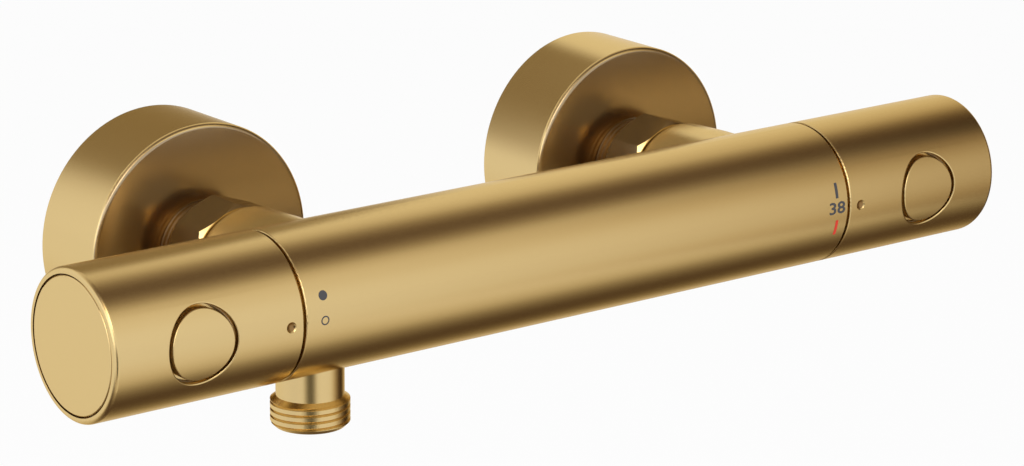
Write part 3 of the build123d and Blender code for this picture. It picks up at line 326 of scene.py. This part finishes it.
# Wall unions: eccentric brass unions, hot-pressed, turned and left raw where the escutcheon hides
# them. One end screws into the wall, the other takes the union nut.
G_THREE_QUARTER_R = 0.01322
WALL_THREAD_Y = 0.0195
WALL_THREAD_TURNS = 9
NUT_THREAD_Y = -0.0210
NUT_THREAD_TURNS = 10
RAW_ROUGHNESS = 0.34
RAW_LINES_PER_MM = 4.0
for water, x in (("hot", -INLET_X), ("cold", INLET_X)):
    # The unions' raw brass is painted darker than the brass in the bar: partly its own colour,
    # partly painted shade for the gap between union nut and escutcheon.
    union_brass_with_painted_shade = turned_metal(f"raw_brass_with_painted_shade_{water}", "#7A5E3A", RAW_ROUGHNESS,
                       Vector((x, 0, 0)), 1, RAW_LINES_PER_MM)
    union = threaded(f"{water}_union", f"threaded_{water}_union",
                     [(Vector((x, WALL_THREAD_Y, 0)), (pi / 2, 0, 0),
                       G_HALF_R, WALL_THREAD_TURNS),
                      (Vector((x, NUT_THREAD_Y, BAR_AXIS.z)), (pi / 2, 0, 0),
                       G_THREE_QUARTER_R, NUT_THREAD_TURNS)])
    coat(union, union_brass_with_painted_shade)
    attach(union, "mixer")
    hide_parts(f"{water}_union")

# Escutcheons: deep-drawn brass cups with a rolled front edge, pushed against the wall. They are
# polished finer than the bar. Union nuts: brass with eight milled flats, tightened on the unions;
# the flats get a painted shade, a grey-brown darker than the gold of the turned bevels.
POLISHED_DEPTH = 0.000001
CUP_ROUGHNESS = 0.24
NUT_ROUGHNESS = 0.2
SHADED_FLAT_FACING = 0.15
SHADE_FREE_BEVEL_FACING = 0.4


def blended(material, factor, first, second):
    """A colour between two others, by the Mix node's colour sockets."""
    return add(material, "ShaderNodeMix", {"Factor": factor, 6: first, 7: second},
               data_type="RGBA")[2]


for water, x in (("hot", -INLET_X), ("cold", INLET_X)):
    around_wall = turned_metal(f"satin_gold_pvd_around_{water}_union", GOLD, CUP_ROUGHNESS,
                               Vector((x, 0, 0)), 1, depth=POLISHED_DEPTH)
    nut_gold_with_shaded_flats = turned_metal(f"satin_gold_pvd_around_{water}_nut", GOLD, NUT_ROUGHNESS,
                              Vector((x, 0, BAR_AXIS.z)), 1, depth=POLISHED_DEPTH)
    # A flat looks straight away from the nut's axis, a bevel partly along it.
    facing = add(nut_gold_with_shaded_flats, "ShaderNodeTexCoord", {})["Normal"]
    facing = vectors(nut_gold_with_shaded_flats, "ABSOLUTE", facing)
    facing = add(nut_gold_with_shaded_flats, "ShaderNodeSeparateXYZ", {"Vector": facing})["Y"]
    shade_free_bevel = ranged(nut_gold_with_shaded_flats, facing, SHADED_FLAT_FACING, SHADE_FREE_BEVEL_FACING, 0.0, 1.0)
    # Painted shade: the flats are coloured a darker grey-brown, and the bevels keep the gold.
    feed(nut_gold_with_shaded_flats, blended(nut_gold_with_shaded_flats, shade_free_bevel, linear("#85745C"), linear(GOLD)), "Base Color")
    finish_node(f"{water}_escutcheon", around_wall)
    finish_node(f"{water}_union_nut", nut_gold_with_shaded_flats)

# Inside of the valves: raw brass, moulded plastics, rubber rings, ceramic discs and steel springs.
# They are pushed into the two ends of the bar and into its necks, and rings and nuts hold them.
raw_bar = turned_metal("raw_brass_with_painted_shade_around_bar", "#C9A968", RAW_ROUGHNESS,
                       BAR_AXIS, 0, RAW_LINES_PER_MM)
steel = turned_metal("drawn_stainless_steel", "#B9B7B1", 0.3, BAR_AXIS, 0, RAW_LINES_PER_MM)


def moulded(name, colour, roughness, grains_per_m, depth):
    """Plastic, rubber or ceramic with the fine grain that its mould or firing leaves."""
    material = new_material(name, {"Base Color": linear(colour)})
    place = add(material, "ShaderNodeTexCoord", {})["Object"]
    grain = add(material, "ShaderNodeTexNoise",
                {"Vector": place, "Scale": grains_per_m, "Detail": 3.0})[0]
    tone = ranged(material, grain, 0.0, 1.0, roughness - 0.05, roughness + 0.05)
    bump = add(material, "ShaderNodeBump", {"Height": grain, "Strength": 0.3, "Distance": depth})
    feed(material, tone, "Roughness")
    feed(material, bump["Normal"], "Normal")
    return material


black_plastic = moulded("moulded_black_plastic", "#26262A", 0.5, 2500.0, 0.00002)
tan_plastic = moulded("moulded_tan_plastic", "#C4AA80", 0.5, 2500.0, 0.00002)
white_plastic = moulded("moulded_white_plastic", "#DAD9D2", 0.45, 2500.0, 0.00002)
rubber = moulded("moulded_black_rubber", "#1D1D1F", 0.7, 1800.0, 0.00003)
ceramic = moulded("lapped_ceramic", "#E6E3DA", 0.2, 4000.0, 0.000005)
surfaces = {"raw_brass": raw_bar, "black_plastic": black_plastic, "white_plastic": white_plastic,
            "seal_rubber": rubber, "ceramic": ceramic, "spring_steel": steel}
for part in frame["record"]["subparts"]:
    if part["material_slot"] in surfaces and not part["node"].endswith("_union"):
        finish_node(part["node"], surfaces[part["material_slot"]])

# Springs: coiled stainless wire. Each row gives the joint that it works against, and the two
# under the buttons turn with their handles. The end that stays is 0 for the low one, 1 for the high;
# the springs are not shortened here.
for node, body, joint, axis, fixed_end in (
        ("hot_check_spring", "mixer", "hot_check_open", 1, 0),
        ("cold_check_spring", "mixer", "cold_check_open", 1, 0),
        ("flow_button_spring", "flow_handle", "flow_button_press", 1, 1),
        ("temperature_button_spring", "temperature_handle", "temperature_button_press", 1, 1),
        ("return_spring", "mixer", "regulator_slide", 0, 0)):
    spring = copied(node, f"coiled_{node}")
    bpy.ops.object.shade_smooth_by_angle(angle=radians(65))
    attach(spring, body)
    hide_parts(node)
    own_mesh(spring)

# Handles: drawn brass sleeves over moulded carriers, with a flat cap pressed into the end. A drilled
# dimple in each sleeve is its pointer; its bottom is painted a darker brown, a painted shade in the
# recess.
POINTER_X = 0.0975
DIMPLE_SHADE_R = 0.00115
DIMPLE_SHADE_EDGE_R = 0.00128
for side, x in (("flow", -POINTER_X), ("temperature", POINTER_X)):
    brushed_gold_with_dimple_shade = turned_metal(f"brushed_gold_pvd_on_{side}_handle", GOLD, GOLD_ROUGHNESS, BAR_AXIS, 0)
    place = add(brushed_gold_with_dimple_shade, "ShaderNodeTexCoord", {})["Object"]
    off = vectors(brushed_gold_with_dimple_shade, "DISTANCE", place, BAR_AXIS + Vector((x, -BAR_R, 0)))
    # Painted shade: the bottom of the dimple is coloured a darker brown than the gold.
    dimple_shade_mask = ranged(brushed_gold_with_dimple_shade, off, DIMPLE_SHADE_EDGE_R, DIMPLE_SHADE_R, 0.0, 1.0)
    feed(brushed_gold_with_dimple_shade, blended(brushed_gold_with_dimple_shade, dimple_shade_mask, linear(GOLD), linear("#94744A")), "Base Color")
    finish_node(f"{side}_handle", brushed_gold_with_dimple_shade)
    finish_node(f"{side}_cap", gold_bar)
    finish_node(f"{side}_button", gold_bar)
    finish_node(f"{side}_carrier", tan_plastic)

# Floor: a plain pale one far below the mixer. The camera and the metal see it nearly white, and
# from underneath it is clear.
FLOOR_Z = -0.42


def seen_or_mirrored(owner):
    """1 for the rays that come from the camera, a mirroring face or a clear one, 0 for the rest."""
    rays = add(owner, "ShaderNodeLightPath", {})
    seen = maths(owner, "ADD", rays["Is Camera Ray"], rays["Is Glossy Ray"])
    return maths(owner, "ADD", seen, rays["Is Transmission Ray"], clamp=True)


floor_material = new_material("pale_studio_floor", {"Base Color": linear("#F4F4F4"),
                                                    "Roughness": 1.0})
matt = floor_material.node_tree.nodes["Principled BSDF"].outputs["BSDF"]
white = add(floor_material, "ShaderNodeEmission", {"Color": (1, 1, 1, 1), "Strength": 1.0})[0]
share = maths(floor_material, "MULTIPLY", seen_or_mirrored(floor_material), 0.9)
top = add(floor_material, "ShaderNodeMixShader", {0: share, 1: matt, 2: white})[0]
clear = add(floor_material, "ShaderNodeBsdfTransparent", {})["BSDF"]
under = add(floor_material, "ShaderNodeNewGeometry", {})["Backfacing"]
mixed = add(floor_material, "ShaderNodeMixShader", {0: under, 1: top, 2: clear})[0]
feed(floor_material, mixed, "Surface", "Material Output")
bpy.ops.mesh.primitive_plane_add(size=30, location=(0, 0, FLOOR_Z))
floor = bpy.context.object
floor.name = "floor"
floor.data.materials.append(floor_material)


# Brown studio films hang above, below, beside, behind and in front of the mixer, so that the bright
# metal shows its roundness. They are see-through, and only reflections show them.
def see_through(material, tint):
    """Makes a material let all light through, tinted."""
    sheet = add(material, "ShaderNodeBsdfTransparent", {"Color": tint})["BSDF"]
    feed(material, sheet, "Surface", "Material Output")


def hung(name, place, turn, size, material):
    """A flat sheet that only reflections show."""
    bpy.ops.mesh.primitive_plane_add(size=1, location=place, rotation=turn)
    made = bpy.context.object
    made.name = name
    made.scale = (size[0], size[1], 1)
    made.data.materials.append(material)
    made.visible_camera = made.visible_shadow = made.visible_diffuse = False
    return made


def film(name, place, turn, size, tints):
    """A brown film; its tints run from its middle line out to its long edges."""
    material = new_material(f"{name}_tint", {})
    spot = add(material, "ShaderNodeTexCoord", {})["Object"]
    spot = vectors(material, "ABSOLUTE", spot)
    spot = add(material, "ShaderNodeSeparateXYZ", {"Vector": spot})
    ramp = material.node_tree.nodes.new("ShaderNodeValToRGB")
    ramp.color_ramp.interpolation = "B_SPLINE"
    while len(ramp.color_ramp.elements) < len(tints):
        ramp.color_ramp.elements.new(0.5)
    for stop, (position, tint) in zip(ramp.color_ramp.elements, tints):
        stop.position = position
        stop.color = (*tint, 1)
    out = maths(material, "MULTIPLY", spot["Y"], 2.0)
    material.node_tree.links.new(out, ramp.inputs["Fac"])
    ends = ranged(material, spot["X"], 0.5, 0.35, 0.0, 1.0, "SMOOTHSTEP")
    see_through(material, blended(material, ends, (1, 1, 1, 1), ramp.outputs["Color"]))
    return hung(name, place, turn, size, material)


dark_above = ((0.0, (0.12, 0.08, 0.055)), (0.06, (0.13, 0.085, 0.06)), (0.155, (0.4, 0.33, 0.235)),
              (0.235, (0.78, 0.71, 0.57)), (0.42, (0.95, 0.92, 0.85)), (1.0, (1, 1, 1)))
dark_below = ((0.0, (0.1, 0.065, 0.045)), (0.07, (0.11, 0.075, 0.05)), (0.185, (0.36, 0.3, 0.21)),
              (0.27, (0.74, 0.67, 0.53)), (0.48, (0.94, 0.9, 0.83)), (1.0, (1, 1, 1)))
side = ((0.0, (0.1, 0.06, 0.04)), (0.12, (0.25, 0.18, 0.12)), (0.32, (0.56, 0.47, 0.34)),
        (0.5, (0.82, 0.76, 0.65)), (0.76, (0.97, 0.96, 0.93)), (1.0, (1, 1, 1)))
brown = ((0.0, (0.3, 0.24, 0.16)), (0.7, (0.34, 0.28, 0.2)), (1.0, (1, 1, 1)))
front = ((0.0, (0.08, 0.07, 0.05)), (0.4, (0.1, 0.09, 0.06)), (0.8, (0.8, 0.77, 0.7)),
         (1.0, (1, 1, 1)))
films = [
    film("film_above", (0.35, -0.125, 0.31), (0, 0, 0), (2.2, 1.6), dark_above),
    film("film_below", (0.35, -0.09, -0.26), (0, 0, 0), (2.2, 1.5), dark_below),
    film("film_right", (0.62, -0.25, -0.05), (0, pi / 2, 0), (1.5, 2.0), side),
    film("film_behind", (-0.015, 0.25, 0.215), (pi / 2, 0, 0), (0.49, 0.45), brown),
    film("film_front", (-0.413, -0.579, -0.19), (0, pi / 2, 0.9006), (0.5, 0.52), front),
]

# Two strips of film hang between the bar and the escutcheons. They take the second mirroring of the
# gold down, and only for light that runs from an escutcheon to the bar.
STRIP_Y = -0.030
STRIP_Z = 0.0225
STRIP_SIZE = (0.09, 0.038)
strip_material = new_material("strip_tint", {})
away = add(strip_material, "ShaderNodeNewGeometry", {})["Backfacing"]
see_through(strip_material, blended(strip_material, away, (1, 1, 1, 1), (0.6, 0.62, 0.84, 1)))
for water, x in (("hot", -INLET_X), ("cold", INLET_X)):
    films.append(hung(f"strip_{water}", (x, STRIP_Y, STRIP_Z), (pi / 2, 0, 0), STRIP_SIZE,
                      strip_material))


# Two large soft lamps light the mixer from above on the left, and a white surround does the rest.
# The surround is a little darker for the floor than it looks to the camera and in the metal.
def lamp(name, place, size, power):
    """A soft square lamp that looks at the mixer."""
    bpy.ops.object.light_add(type="AREA", location=place)
    made = bpy.context.object
    made.name = name
    made.data.size = size
    made.data.energy = power
    made.rotation_euler = (BAR_AXIS - Vector(place)).to_track_quat("-Z", "Y").to_euler()
    return made


key = lamp("key_lamp", (-1.0, -1.2, 1.5), 1.2, 14)
fill = lamp("fill_lamp", (-1.6, -0.6, 0.7), 1.4, 6)

world = bpy.data.worlds.new("white_surround")
bpy.context.scene.world = world
world.use_nodes = True
level = ranged(world, seen_or_mirrored(world), 0.0, 1.0, 0.75, 1.0)
world.node_tree.nodes["Background"].inputs["Color"].default_value = (1, 1, 1, 1)
feed(world, level, "Strength", "Background")

# Camera: the photograph's place and lens, fitted to the bar's joints, the wall centres and the caps.
# It is turned about Z, tilted down and rolled by the angles in radians.
CAMERA_PLACE = (-0.646555, -0.880371, 0.301684)
CAMERA_TURN = -0.67025
CAMERA_TILT = 0.275
CAMERA_ROLL = 0.00779
bpy.ops.object.camera_add()
camera = bpy.context.object
camera.data.sensor_width = 36
camera.data.lens = 139.677
camera.matrix_world = (Matrix.Translation(CAMERA_PLACE)
                       @ Matrix.Rotation(CAMERA_TURN, 4, "Z")
                       @ Matrix.Rotation(pi / 2 - CAMERA_TILT, 4, "X")
                       @ Matrix.Rotation(CAMERA_ROLL, 4, "Z"))
bpy.context.scene.camera = camera
bpy.context.scene.view_settings.view_transform = "Standard"
